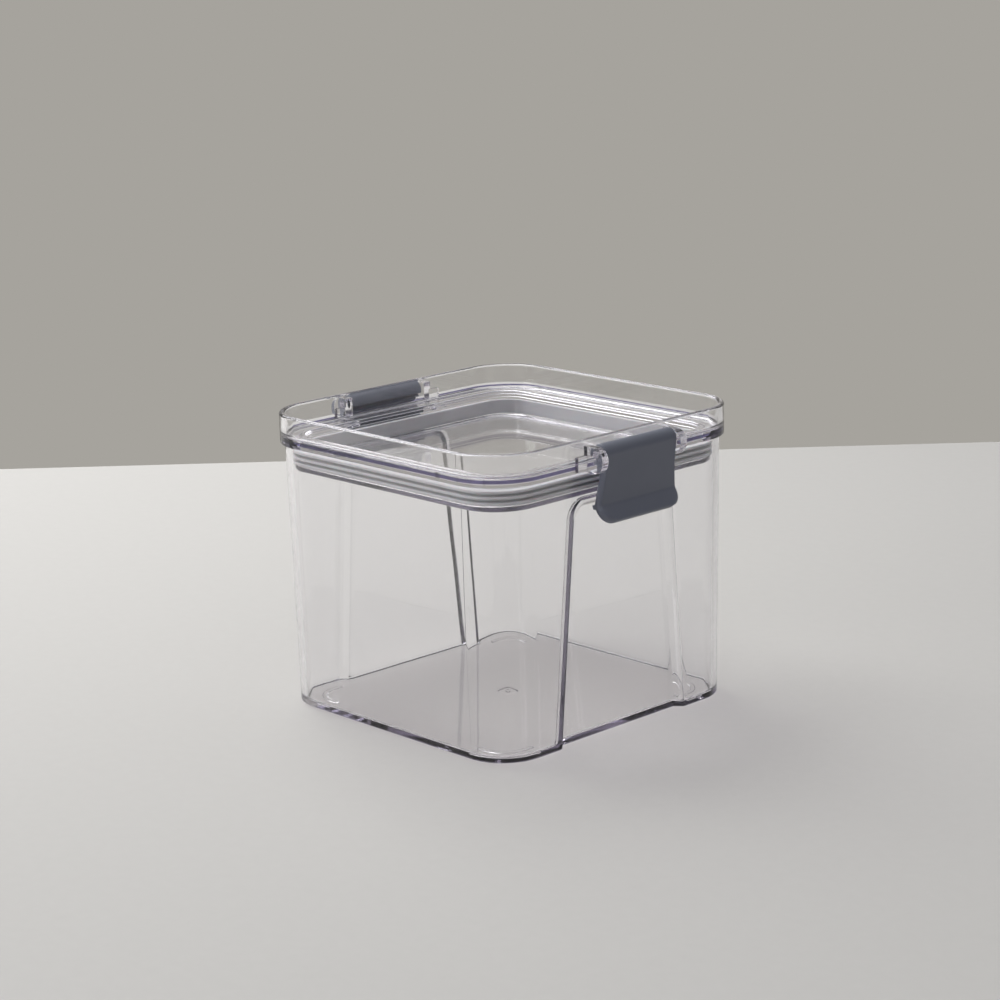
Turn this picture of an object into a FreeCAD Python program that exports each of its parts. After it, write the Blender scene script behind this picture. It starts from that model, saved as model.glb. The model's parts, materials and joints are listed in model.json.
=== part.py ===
import FreeCAD, Part
import math
import os
import Sketcher

# Clear square storage jar: drop-in lid with a gasket and two flip latches.
# Millimetres and degrees. +Z is up, the floor is z = 0 and the origin is under the middle of the base.
# +X and -X are the two faces with latches.

# Driving dimensions
SIZES = {
    # Lid
    "lid_width": 110.0,
    "lid_corner": 17.4,
    "rim_wall": 1.9,
    "rim_height": 7.75,
    "flange_thickness": 2.2,
    "ledge_width": 7.1,
    "well_depth": 8.5,
    "plug_wall": 1.9,
    "plug_floor": 1.8,
    "plug_lip_reach": 2.7,
    "plug_lip_height": 1.6,
    "rim_bevel": 0.5,
    "well_bevel": 1.4,
    "plug_bevel": 0.5,
    # Jar
    "jar_overhang": 1.5,
    "jar_height": 85.4,
    "jar_draft": 1.2,
    "jar_wall": 2.0,
    "jar_floor": 1.6,
    "floor_round": 1.2,
    "base_bevel": 0.7,
    "mouth_bevel": 0.4,
    # Grip recess on each latch face
    "recess_base_width": 55.4,
    "recess_top_width": 42.6,
    "recess_depth": 2.6,
    "recess_side_run": 2.2,
    "recess_top_run": 0.5,
    "recess_corner": 7.0,
    # Corner feet and the dish round the moulding gate
    "foot_height": 1.0,
    "foot_width": 1.6,
    "foot_inset": 7.1,
    "foot_corner": 9.2,
    "foot_leg": 3.0,
    "gate_dish_radius": 4.0,
    "gate_dish_depth": 0.6,
    "gate_stub_radius": 1.0,
    # Gasket
    "gasket_height": 5.4,
    "gasket_core": 1.3,
    "gasket_lips": 3,
    "gasket_lip_root": 1.3,
    "gasket_lip_tip": 0.9,
    "gasket_seat": 0.05,
    "gasket_wall_gap": 0.3,
    # Hinge
    "hinge_offset": 3.45,
    "hinge_height": 5.5,
    "ear_height": 3.9,
    "ear_radius": 4.1,
    "ear_thickness": 2.8,
    "ear_spacing": 31.6,
    "ear_web_length": 3.8,
    "ear_web_reach": 1.2,
    "ear_web_height": 4.7,
    "axle_radius": 1.3,
    "bore_clearance": 0.08,
    "clip_mouth": 2.1,
    "clip_mouth_angle": 45.0,
    # Latch
    "barrel_radius": 3.1,
    "barrel_side_gap": 0.3,
    "latch_lean": 7.2,
    "latch_thickness": 2.4,
    "latch_foot_width": 34.8,
    "latch_shoulder": 7.0,
    "latch_shoulder_round": 10.0,
    "latch_corner": 4.5,
    "tab_length": 5.4,
    "tab_flare": 40.5,
    "tab_thickness": 2.2,
    "fold_above_hook": 0.9,
    "hook_drop": 16.6,
    "hook_gap": 0.38,
    "hook_thickness": 1.3,
    "snap_angle": 4.5,
    "ledge_gap": 0.35,
    "latch_edge_bevel": 0.6,
    "fold_round": 2.0,
    "hook_round": 0.3,
}

# Dimensions worked out from the driving ones, as expressions
WORKED = {
    "rim_level": "sizes.foot_height + sizes.jar_height",
    "ledge_level": "rim_level + sizes.flange_thickness",
    "lid_top": "ledge_level + sizes.rim_height",
    "well_floor": "ledge_level - sizes.well_depth",
    "plug_bottom": "well_floor - sizes.plug_floor",
    "well_width": "sizes.lid_width - 2 * (sizes.rim_wall + sizes.ledge_width)",
    "plug_width": "well_width + 2 * sizes.plug_wall",
    "plug_lip_width": "plug_width + 2 * sizes.plug_lip_reach",
    "gasket_bottom": "plug_bottom + sizes.plug_lip_height",
    "jar_rim_width": "sizes.lid_width - 2 * sizes.jar_overhang",
    "jar_base_width": "jar_rim_width - 2 * sizes.jar_draft",
    "jar_rim_corner": "sizes.lid_corner - sizes.jar_overhang",
    "cavity_level": "sizes.foot_height + sizes.jar_floor",
    "cavity_width": "jar_base_width - 2 * sizes.jar_wall"
                    " + 2 * sizes.jar_draft * sizes.jar_floor / sizes.jar_height",
    "draft_angle": "atan(sizes.jar_draft / sizes.jar_height)",
    "hinge_x": "sizes.lid_width / 2 + sizes.hinge_offset",
    "hinge_z": "rim_level + sizes.hinge_height",
    "ear_z": "rim_level + sizes.ear_height",
    # The hook's tip, seen from the hinge: level with the wall at rest, then along and across the plate
    "hook_wall_x": "jar_base_width / 2 + sizes.jar_draft"
                   " * (hinge_z - sizes.hook_drop - sizes.foot_height) / sizes.jar_height",
    "hook_reach": "hook_wall_x + sizes.hook_gap - hinge_x",
    "hook_x": "hook_reach * cos(sizes.latch_lean) + sizes.hook_drop * sin(sizes.latch_lean)",
    "hook_z": "hook_reach * sin(sizes.latch_lean) - sizes.hook_drop * cos(sizes.latch_lean)",
    "snap_lean": "sizes.latch_lean + sizes.snap_angle",
    "ledge_z": "hinge_z - hook_x * sin(snap_lean) + hook_z * cos(snap_lean) + sizes.ledge_gap",
    "hook_width": "sizes.recess_top_width - 2 * sizes.recess_corner",
    "recess_rise": "ledge_z - sizes.foot_height",
    "recess_lean": "atan((sizes.recess_base_width - sizes.recess_top_width) / 2 / recess_rise)",
    "plate_length": "(sizes.hook_drop - sizes.fold_above_hook"
                    " - sizes.barrel_radius * sin(sizes.latch_lean)) / cos(sizes.latch_lean)",
    "barrel_length": "sizes.ear_spacing - 2 * sizes.barrel_side_gap",
    "clevis_width": "sizes.ear_spacing + 2 * sizes.ear_thickness",
    "foot_reach": "jar_base_width / 2 - sizes.foot_inset",
    "gasket_reach": "cavity_width / 2 + sizes.jar_draft * (gasket_bottom - cavity_level)"
                    " / sizes.jar_height - sizes.gasket_wall_gap",
}

doc = FreeCAD.newDocument("storage_jar")


def fill_sheet(name, entries, prefix):
    """Put named entries into a spreadsheet, one row each, with the name as the cell's alias."""
    sheet = doc.addObject("Spreadsheet::Sheet", name)
    for row, (alias, entry) in enumerate(entries.items(), start=1):
        sheet.set(f"A{row}", alias)
        sheet.set(f"B{row}", prefix + str(entry))
        sheet.setAlias(f"B{row}", alias)
    doc.recompute()
    return sheet


sizes = fill_sheet("sizes", SIZES, "")
worked = fill_sheet("worked", WORKED, "=")


def value(expression):
    """The number that an expression has at present."""
    result = sizes.evalExpression(expression)
    return float(getattr(result, "Value", result))


def new_body(name):
    """An empty body whose label names the sub-part."""
    body = doc.addObject("PartDesign::Body", name)
    body.Label = name
    return body


def origin_plane(body, role):
    """One of the body's own origin planes or axes."""
    return next(item for item in body.Origin.OriginFeatures if item.Role == role)


def new_sketch(body, name, role, offset=None):
    """A sketch on an origin plane, moved along the plane's normal by an expression."""
    sketch = body.newObject("Sketcher::SketchObject", name)
    sketch.AttachmentSupport = (origin_plane(body, role), [""])
    sketch.MapMode = "FlatFace"
    if offset:
        sketch.setExpression("AttachmentOffset.Base.z", offset)
    return sketch


def bind(sketch, name, constraint, expression):
    """Add a named dimension to a sketch and bind it to an expression."""
    index = sketch.addConstraint(constraint)
    sketch.renameConstraint(index, name)
    sketch.setExpression(f"Constraints.{name}", expression)


def line(start, end):
    return Part.LineSegment(FreeCAD.Vector(*start, 0), FreeCAD.Vector(*end, 0))


def arc(centre, radius, start_degrees, end_degrees):
    circle = Part.Circle(FreeCAD.Vector(*centre, 0), FreeCAD.Vector(0, 0, 1), radius)
    return Part.ArcOfCircle(circle, math.radians(start_degrees), math.radians(end_degrees))


def square_sketch(body, name, level, width, corner):
    """A rounded square about the Z axis at a given height."""
    sketch = new_sketch(body, name, "XY_Plane", level)
    half = value(width) / 2
    radius = value(corner)
    flat = half - radius
    sketch.addGeometry([
        line((-flat, -half), (flat, -half)),
        arc((flat, -flat), radius, -90, 0),
        line((half, -flat), (half, flat)),
        arc((flat, flat), radius, 0, 90),
        line((flat, half), (-flat, half)),
        arc((-flat, flat), radius, 90, 180),
        line((-half, flat), (-half, -flat)),
        arc((-flat, -flat), radius, 180, 270),
    ])
    for index in range(8):
        sketch.addConstraint(Sketcher.Constraint("Tangent", index, 2, (index + 1) % 8, 1))
    sketch.addConstraint(Sketcher.Constraint("Symmetric", 0, 1, 0, 2, -2))
    sketch.addConstraint(Sketcher.Constraint("Symmetric", 2, 1, 2, 2, -1))
    sketch.addConstraint(Sketcher.Constraint("Horizontal", 4))
    sketch.addConstraint(Sketcher.Constraint("Vertical", 6))
    for index in (3, 5, 7):
        sketch.addConstraint(Sketcher.Constraint("Equal", 1, index))
    bind(sketch, "width", Sketcher.Constraint("DistanceX", 6, 1, 2, 2, 2 * half), width)
    bind(sketch, "depth", Sketcher.Constraint("DistanceY", 0, 2, 4, 1, 2 * half), width)
    bind(sketch, "corner", Sketcher.Constraint("Radius", 1, radius), corner)
    return sketch


def polygon(sketch, points, arc_about_origin=False):
    """A closed outline whose corners are bound to pairs of expressions.

    Its sides are straight, but the last can be an arc about the origin, which then sets the last
    corner's height.
    """
    first = sketch.GeometryCount
    places = [(value(across), value(along)) for across, along in points]
    count = len(places)
    for index in range(count - 1):
        sketch.addGeometry(line(places[index], places[index + 1]))
    last = first + count - 1
    if arc_about_origin:
        angles = [math.degrees(math.atan2(along, across)) % 360 for across, along in (places[0], places[-1])]
        sketch.addGeometry(arc((0, 0), math.hypot(*places[0]), *angles))
        sketch.addConstraint(Sketcher.Constraint("Coincident", last, 3, -1, 1))
    else:
        sketch.addGeometry(line(places[-1], places[0]))
    for index in range(first, last - 1):
        sketch.addConstraint(Sketcher.Constraint("Coincident", index, 2, index + 1, 1))
    closing_start, closing_end = (2, 1) if arc_about_origin else (1, 2)
    sketch.addConstraint(Sketcher.Constraint("Coincident", last - 1, 2, last, closing_start))
    sketch.addConstraint(Sketcher.Constraint("Coincident", last, closing_end, first, 1))
    for index, (across, along) in enumerate(points):
        corner = (first + index, 1) if first + index < last else (last, closing_start)
        across_place = Sketcher.Constraint("DistanceX", -1, 1, *corner, places[index][0])
        along_place = Sketcher.Constraint("DistanceY", -1, 1, *corner, places[index][1])
        bind(sketch, f"across_{first + index}", across_place, across)
        if corner[0] < last or not arc_about_origin:
            bind(sketch, f"along_{first + index}", along_place, along)


def circle(sketch, name, centre, radius):
    """A circle whose centre and radius are bound to expressions."""
    place = FreeCAD.Vector(value(centre[0]), value(centre[1]), 0)
    shape = Part.Circle(place, FreeCAD.Vector(0, 0, 1), value(radius))
    index = sketch.addGeometry(shape)
    bind(sketch, f"{name}_radius", Sketcher.Constraint("Radius", index, value(radius)), radius)
    if centre == ("0", "0"):
        sketch.addConstraint(Sketcher.Constraint("Coincident", index, 3, -1, 1))
        return
    bind(sketch, f"{name}_x", Sketcher.Constraint("DistanceX", -1, 1, index, 3, place.x), centre[0])
    bind(sketch, f"{name}_y", Sketcher.Constraint("DistanceY", -1, 1, index, 3, place.y), centre[1])


def extrude(body, kind, name, sketch, length, reverse=False, both_ways=False):
    """A Pad or Pocket of a sketch whose length is an expression."""
    feature = body.newObject(f"PartDesign::{kind}", name)
    feature.Profile = sketch
    feature.setExpression("Length", length)
    feature.Reversed = reverse
    if both_ways:
        feature.SideType = "Symmetric"
    doc.recompute()
    return feature


def loft(body, kind, name, first, last):
    """A ruled loft, added or cut, between two sketches."""
    feature = body.newObject(f"PartDesign::{kind}Loft", name)
    feature.Profile = first
    feature.Sections = [last]
    feature.Ruled = True
    doc.recompute()
    return feature


def dress(body, kind, name, amount, wanted):
    """A Fillet or Chamfer on the edges of the body's last feature for which a test on the edge holds."""
    base = body.Tip
    names = [f"Edge{index}" for index, edge in enumerate(base.Shape.Edges, start=1) if wanted(edge)]
    feature = body.newObject(f"PartDesign::{kind}", name)
    feature.Base = (base, names)
    feature.setExpression("Radius" if kind == "Fillet" else "Size", amount)
    doc.recompute()
    return feature


def lean_walls(body, name, pivot, narrow_up, wanted):
    """Lean the upright faces for which a test holds, about the plane in which their outline is true."""
    base = body.Tip
    names = [f"Face{index}" for index, face in enumerate(base.Shape.Faces, start=1) if wanted(face)]
    feature = body.newObject("PartDesign::Draft", name)
    feature.Base = (base, names)
    feature.NeutralPlane = (pivot, [""])
    feature.setExpression("Angle", "worked.draft_angle")
    feature.Reversed = not narrow_up
    doc.recompute()
    return feature


def mirror(body, name, originals):
    """Repeat features on the other side of the YZ plane."""
    feature = body.newObject("PartDesign::Mirrored", name)
    feature.Originals = originals
    feature.MirrorPlane = (origin_plane(body, "YZ_Plane"), [""])
    body.Tip = feature
    doc.recompute()
    return feature


def at_level(level):
    """A test for edges that lie flat at one height."""
    height = value(level)
    return lambda edge: abs(edge.BoundBox.ZMin - height) < 1e-4 and abs(edge.BoundBox.ZMax - height) < 1e-4


def upright(face):
    """Whether a face stands straight up."""
    low_u, high_u, low_v, high_v = face.ParameterRange
    normal = face.normalAt((low_u + high_u) / 2, (low_v + high_v) / 2)
    return abs(normal.z) < 1e-6


def recess_sketch(body, name, depth, side_shift, top_shift, bottom):
    """The grip recess's outline in a plane parallel to the jar's leaning wall, at a depth below its face."""
    sketch = new_sketch(body, name, "YZ_Plane", f"worked.jar_base_width / 2 - ({depth})")
    sketch.setExpression("AttachmentOffset.Base.y", "sizes.foot_height")
    offset = sketch.AttachmentOffset
    offset.Rotation = FreeCAD.Rotation(FreeCAD.Vector(1, 0, 0), value("worked.draft_angle"))
    sketch.AttachmentOffset = offset
    sketch.setExpression("AttachmentOffset.Rotation.Angle", "worked.draft_angle")
    width = (f"sizes.recess_base_width + 2 * ({side_shift}) - 2 * sizes.recess_side_run"
             f" * ({depth}) / sizes.recess_depth - 2 * ({bottom}) * tan(worked.recess_lean)")
    top = f"worked.recess_rise + ({top_shift}) - sizes.recess_top_run * ({depth}) / sizes.recess_depth"
    lean = value("worked.recess_lean")
    radius = value("sizes.recess_corner")
    low = value(bottom)
    high = value(top)
    half = value(width) / 2
    # Centre of the arc that rounds the top corner, and the point where it meets the side
    tilt = math.radians(lean)
    centre_y = high - radius
    centre_x = half - (centre_y - low) * math.tan(tilt) - radius / math.cos(tilt)
    on_side = (centre_x + radius * math.cos(tilt), centre_y + radius * math.sin(tilt))
    turn = 90 - lean
    sketch.addGeometry([
        line((-half, low), (half, low)),
        line((half, low), on_side),
        arc((centre_x, centre_y), radius, lean, lean + turn),
        line((centre_x, high), (-centre_x, high)),
        arc((-centre_x, centre_y), radius, 90, 90 + turn),
        line((-on_side[0], on_side[1]), (-half, low)),
    ])
    sketch.addConstraint(Sketcher.Constraint("Coincident", 0, 2, 1, 1))
    for index in (1, 2, 3, 4):
        sketch.addConstraint(Sketcher.Constraint("Tangent", index, 2, index + 1, 1))
    sketch.addConstraint(Sketcher.Constraint("Coincident", 5, 2, 0, 1))
    sketch.addConstraint(Sketcher.Constraint("Symmetric", 0, 1, 0, 2, -2))
    sketch.addConstraint(Sketcher.Constraint("Symmetric", 3, 1, 3, 2, -2))
    sketch.addConstraint(Sketcher.Constraint("Equal", 2, 4))
    bind(sketch, "width", Sketcher.Constraint("DistanceX", 0, 1, 0, 2, 2 * half), width)
    bind(sketch, "low", Sketcher.Constraint("DistanceY", -1, 1, 0, 1, low), bottom)
    bind(sketch, "top", Sketcher.Constraint("DistanceY", -1, 1, 3, 1, high), top)
    bind(sketch, "corner", Sketcher.Constraint("Radius", 2, radius), "sizes.recess_corner")
    side_angle = Sketcher.Constraint("Angle", 1, math.radians(90 + lean))
    bind(sketch, "side", side_angle, "90 deg + worked.recess_lean")
    return sketch


def build_jar():
    """The clear body: leaning walls, a grip recess on two faces and four corner feet."""
    body = new_body("jar")
    rim_plane = body.newObject("PartDesign::Plane", "rim_plane")
    rim_plane.AttachmentSupport = (origin_plane(body, "XY_Plane"), [""])
    rim_plane.MapMode = "FlatFace"
    rim_plane.setExpression("AttachmentOffset.Base.z", "worked.rim_level")
    rim = square_sketch(body, "jar_rim", "worked.rim_level", "worked.jar_rim_width", "worked.jar_rim_corner")
    extrude(body, "Pad", "jar_block", rim, "sizes.jar_height", reverse=True)
    lean_walls(body, "outer_walls", rim_plane, False, upright)
    mouth = square_sketch(body, "cavity_mouth", "worked.rim_level", "worked.jar_rim_width - 2 * sizes.jar_wall",
                          "worked.jar_rim_corner - sizes.jar_wall")
    extrude(body, "Pocket", "jar_cavity", mouth, "sizes.jar_height - sizes.jar_floor")
    lean_walls(body, "inner_walls", rim_plane, True, upright)
    dress(body, "Fillet", "floor_fillet", "sizes.floor_round", at_level("worked.cavity_level"))
    dress(body, "Chamfer", "mouth_edges", "sizes.mouth_bevel", at_level("worked.rim_level"))
    dress(body, "Chamfer", "base_edges", "sizes.base_bevel", at_level("sizes.foot_height"))

    # The wall keeps its thickness round the recess, so a swelling inside goes with the cut outside
    side_shift = "sizes.jar_wall * sqrt(1 + (sizes.recess_side_run / sizes.recess_depth) ^ 2)"
    top_shift = "sizes.jar_wall * sqrt(1 + (sizes.recess_top_run / sizes.recess_depth) ^ 2)"
    swell_outer = recess_sketch(body, "swell_outer", "sizes.jar_wall / 2", side_shift, top_shift,
                                "sizes.jar_floor / 2")
    swell_inner = recess_sketch(body, "swell_inner", "sizes.recess_depth + sizes.jar_wall", side_shift,
                                top_shift, "sizes.jar_floor / 2")
    swell = loft(body, "Additive", "recess_swell", swell_outer, swell_inner)
    cut_outer = recess_sketch(body, "recess_outer", "-sizes.jar_wall", "0", "0", "-sizes.jar_floor")
    cut_inner = recess_sketch(body, "recess_inner", "sizes.recess_depth", "0", "0", "-sizes.jar_floor")
    cut = loft(body, "Subtractive", "recess_cut", cut_outer, cut_inner)
    mirror(body, "recess_other_side", [swell, cut])

    # One foot follows the corner of the base and is repeated at the other three
    foot = new_sketch(body, "foot_outline", "XY_Plane", "sizes.foot_height")
    reach = value("worked.foot_reach")
    outer = value("sizes.foot_corner")
    inner = outer - value("sizes.foot_width")
    bend = reach - outer
    end = bend - value("sizes.foot_leg")
    inside = reach - value("sizes.foot_width")
    foot.addGeometry([
        line((reach, end), (reach, bend)),
        arc((bend, bend), outer, 0, 90),
        line((bend, reach), (end, reach)),
        line((end, reach), (end, inside)),
        line((end, inside), (bend, inside)),
        arc((bend, bend), inner, 0, 90),
        line((inside, bend), (inside, end)),
        line((inside, end), (reach, end)),
    ])
    for first, first_end, second, second_end in ((0, 2, 1, 1), (1, 2, 2, 1), (4, 2, 5, 2), (5, 1, 6, 1)):
        foot.addConstraint(Sketcher.Constraint("Tangent", first, first_end, second, second_end))
    for first, second in ((2, 3), (3, 4), (6, 7)):
        foot.addConstraint(Sketcher.Constraint("Coincident", first, 2, second, 1))
    foot.addConstraint(Sketcher.Constraint("Coincident", 7, 2, 0, 1))
    foot.addConstraint(Sketcher.Constraint("Coincident", 1, 3, 5, 3))
    for index in (2, 7):
        foot.addConstraint(Sketcher.Constraint("Horizontal", index))
    for index in (0, 3):
        foot.addConstraint(Sketcher.Constraint("Vertical", index))
    foot.addConstraint(Sketcher.Constraint("Equal", 0, 2))
    bind(foot, "reach_x", Sketcher.Constraint("DistanceX", -1, 1, 0, 1, reach), "worked.foot_reach")
    bind(foot, "reach_y", Sketcher.Constraint("DistanceY", -1, 1, 2, 2, reach), "worked.foot_reach")
    bind(foot, "corner", Sketcher.Constraint("Radius", 1, outer), "sizes.foot_corner")
    bind(foot, "thickness", Sketcher.Constraint("DistanceY", 3, 2, 3, 1, outer - inner), "sizes.foot_width")
    bind(foot, "leg", Sketcher.Constraint("DistanceY", 0, 1, 0, 2, bend - end), "sizes.foot_leg")
    rib = extrude(body, "Pad", "foot", foot, "sizes.foot_height", reverse=True)
    feet = body.newObject("PartDesign::PolarPattern", "feet")
    feet.Originals = [rib]
    feet.Axis = (origin_plane(body, "Z_Axis"), [""])
    feet.Angle = 360
    feet.Occurrences = 4
    body.Tip = feet
    doc.recompute()

    # A shallow dish under the middle of the base, with the stub where the plastic was fed in
    gate = new_sketch(body, "gate_profile", "XZ_Plane")
    under = "sizes.foot_height"
    depth = "sizes.foot_height + sizes.gate_dish_depth"
    polygon(gate, [
        ("sizes.gate_stub_radius", under),
        ("sizes.gate_dish_radius", under),
        ("sizes.gate_dish_radius - sizes.gate_dish_depth", depth),
        ("sizes.gate_stub_radius", depth),
    ])
    dish = body.newObject("PartDesign::Groove", "gate_dish")
    dish.Profile = gate
    dish.ReferenceAxis = (gate, ["V_Axis"])
    dish.Angle = 360
    doc.recompute()
    return body


def build_lid():
    """The clear lid: rim, ledge and well above, plug and retaining lip below, four hinge ears."""
    body = new_body("lid")
    corner_in = "sizes.lid_corner - (sizes.lid_width - ({})) / 2"
    outline = square_sketch(body, "lid_outline", "worked.rim_level", "sizes.lid_width", "sizes.lid_corner")
    extrude(body, "Pad", "lid_block", outline, "worked.lid_top - worked.rim_level")
    tray_width = "sizes.lid_width - 2 * sizes.rim_wall"
    tray = square_sketch(body, "tray_outline", "worked.lid_top", tray_width, corner_in.format(tray_width))
    extrude(body, "Pocket", "tray", tray, "sizes.rim_height")
    plug = square_sketch(body, "plug_outline", "worked.rim_level", "worked.plug_width",
                         corner_in.format("worked.plug_width"))
    extrude(body, "Pad", "plug", plug, "worked.rim_level - worked.plug_bottom", reverse=True)
    lip = square_sketch(body, "plug_lip_outline", "worked.plug_bottom", "worked.plug_lip_width",
                        corner_in.format("worked.plug_lip_width"))
    extrude(body, "Pad", "plug_lip", lip, "sizes.plug_lip_height")
    well = square_sketch(body, "well_outline", "worked.ledge_level", "worked.well_width",
                         corner_in.format("worked.well_width"))
    extrude(body, "Pocket", "well", well, "sizes.well_depth")
    dress(body, "Chamfer", "rim_edges", "sizes.rim_bevel", at_level("worked.lid_top"))
    dress(body, "Chamfer", "well_edges", "sizes.well_bevel", at_level("worked.well_floor"))
    dress(body, "Chamfer", "plug_edges", "sizes.plug_bevel", at_level("worked.plug_bottom"))

    # A pair of ears is one block with a slot between, a low web outside each ear and an axle across
    wall = "sizes.lid_width / 2"
    inside = "sizes.lid_width / 2 - sizes.rim_wall / 2"
    foot = "worked.rim_level + sizes.flange_thickness / 4"
    ear = new_sketch(body, "ear_outline", "XZ_Plane")
    ear_profile(ear, inside, foot)
    block = extrude(body, "Pad", "ear_block", ear, "worked.clevis_width", both_ways=True)
    web_sketch = new_sketch(body, "ear_web_outline", "XZ_Plane")
    web_front = f"{wall} + sizes.ear_web_reach"
    web_top = f"{foot} + sizes.ear_web_height"
    polygon(web_sketch, [(inside, foot), (web_front, foot), (web_front, web_top), (inside, web_top)])
    web = extrude(body, "Pad", "ear_webs", web_sketch, "worked.clevis_width + 2 * sizes.ear_web_length",
                  both_ways=True)
    slot_sketch = new_sketch(body, "slot_outline", "XZ_Plane")
    beyond = "worked.hinge_x + 2 * sizes.ear_radius"
    below = "worked.ear_z - 2 * sizes.ear_radius"
    above = "worked.ear_z + 2 * sizes.ear_radius"
    polygon(slot_sketch, [(wall, below), (beyond, below), (beyond, above), (wall, above)])
    slot = extrude(body, "Pocket", "ear_slot", slot_sketch, "sizes.ear_spacing", both_ways=True)
    axle_sketch = new_sketch(body, "axle_outline", "XZ_Plane")
    circle(axle_sketch, "axle", ("worked.hinge_x", "worked.hinge_z"), "sizes.axle_radius")
    axle = extrude(body, "Pad", "axle", axle_sketch, "sizes.ear_spacing + sizes.ear_thickness", both_ways=True)
    mirror(body, "hinge_other_side", [block, web, slot, axle])
    return body


def ear_profile(sketch, inside, foot):
    """An ear's outline from the side: flat on top, round outside and sloping back to the wall below."""
    centre = (value("worked.hinge_x"), value("worked.ear_z"))
    radius = value("sizes.ear_radius")
    top = centre[1] + radius
    sketch.addGeometry([
        line((centre[0], top), (value(inside), top)),
        line((value(inside), top), (value(inside), value(foot))),
        line((value(inside), value(foot)), (centre[0], centre[1] - radius)),
        arc(centre, radius, -90, 90),
    ])
    for index in range(3):
        sketch.addConstraint(Sketcher.Constraint("Coincident", index, 2, index + 1, 1))
    sketch.addConstraint(Sketcher.Constraint("Tangent", 3, 2, 0, 1))
    sketch.addConstraint(Sketcher.Constraint("Horizontal", 0))
    sketch.addConstraint(Sketcher.Constraint("Vertical", 1))
    sketch.addConstraint(Sketcher.Constraint("Vertical", 3, 1, 3, 3))
    bind(sketch, "ear_radius", Sketcher.Constraint("Radius", 3, radius), "sizes.ear_radius")
    bind(sketch, "ear_x", Sketcher.Constraint("DistanceX", -1, 1, 3, 3, centre[0]), "worked.hinge_x")
    bind(sketch, "ear_z", Sketcher.Constraint("DistanceY", -1, 1, 3, 3, centre[1]), "worked.ear_z")
    bind(sketch, "ear_inside", Sketcher.Constraint("DistanceX", -1, 1, 1, 1, value(inside)), inside)
    bind(sketch, "ear_foot", Sketcher.Constraint("DistanceY", -1, 1, 1, 2, value(foot)), foot)


def build_gasket():
    """The grey ring round the plug: a core with outward lips, swept round the plug's outline."""
    body = new_body("gasket")
    back = "worked.plug_width / 2 + sizes.gasket_seat"
    width = f"2 * ({back})"
    corner = f"sizes.lid_corner - sizes.lid_width / 2 + ({back})"
    path = square_sketch(body, "gasket_path", "worked.gasket_bottom", width, corner)
    core = f"{back} + sizes.gasket_core"
    reach = "worked.gasket_reach"
    pitch = "sizes.gasket_height / sizes.gasket_lips"
    points = [(back, "worked.gasket_bottom")]
    for lip in range(int(value("sizes.gasket_lips"))):
        middle = f"worked.gasket_bottom + ({pitch}) * {lip + 0.5}"
        points += [
            (core, f"{middle} - sizes.gasket_lip_root / 2"),
            (reach, f"{middle} - sizes.gasket_lip_tip / 2"),
            (reach, f"{middle} + sizes.gasket_lip_tip / 2"),
            (core, f"{middle} + sizes.gasket_lip_root / 2"),
        ]
    points += [(back, "worked.gasket_bottom + sizes.gasket_height")]
    profile = new_sketch(body, "gasket_profile", "XZ_Plane")
    polygon(profile, points)
    ring = body.newObject("PartDesign::AdditivePipe", "gasket_ring")
    ring.Profile = profile
    ring.Spine = (path, [])
    doc.recompute()
    return body


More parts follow.
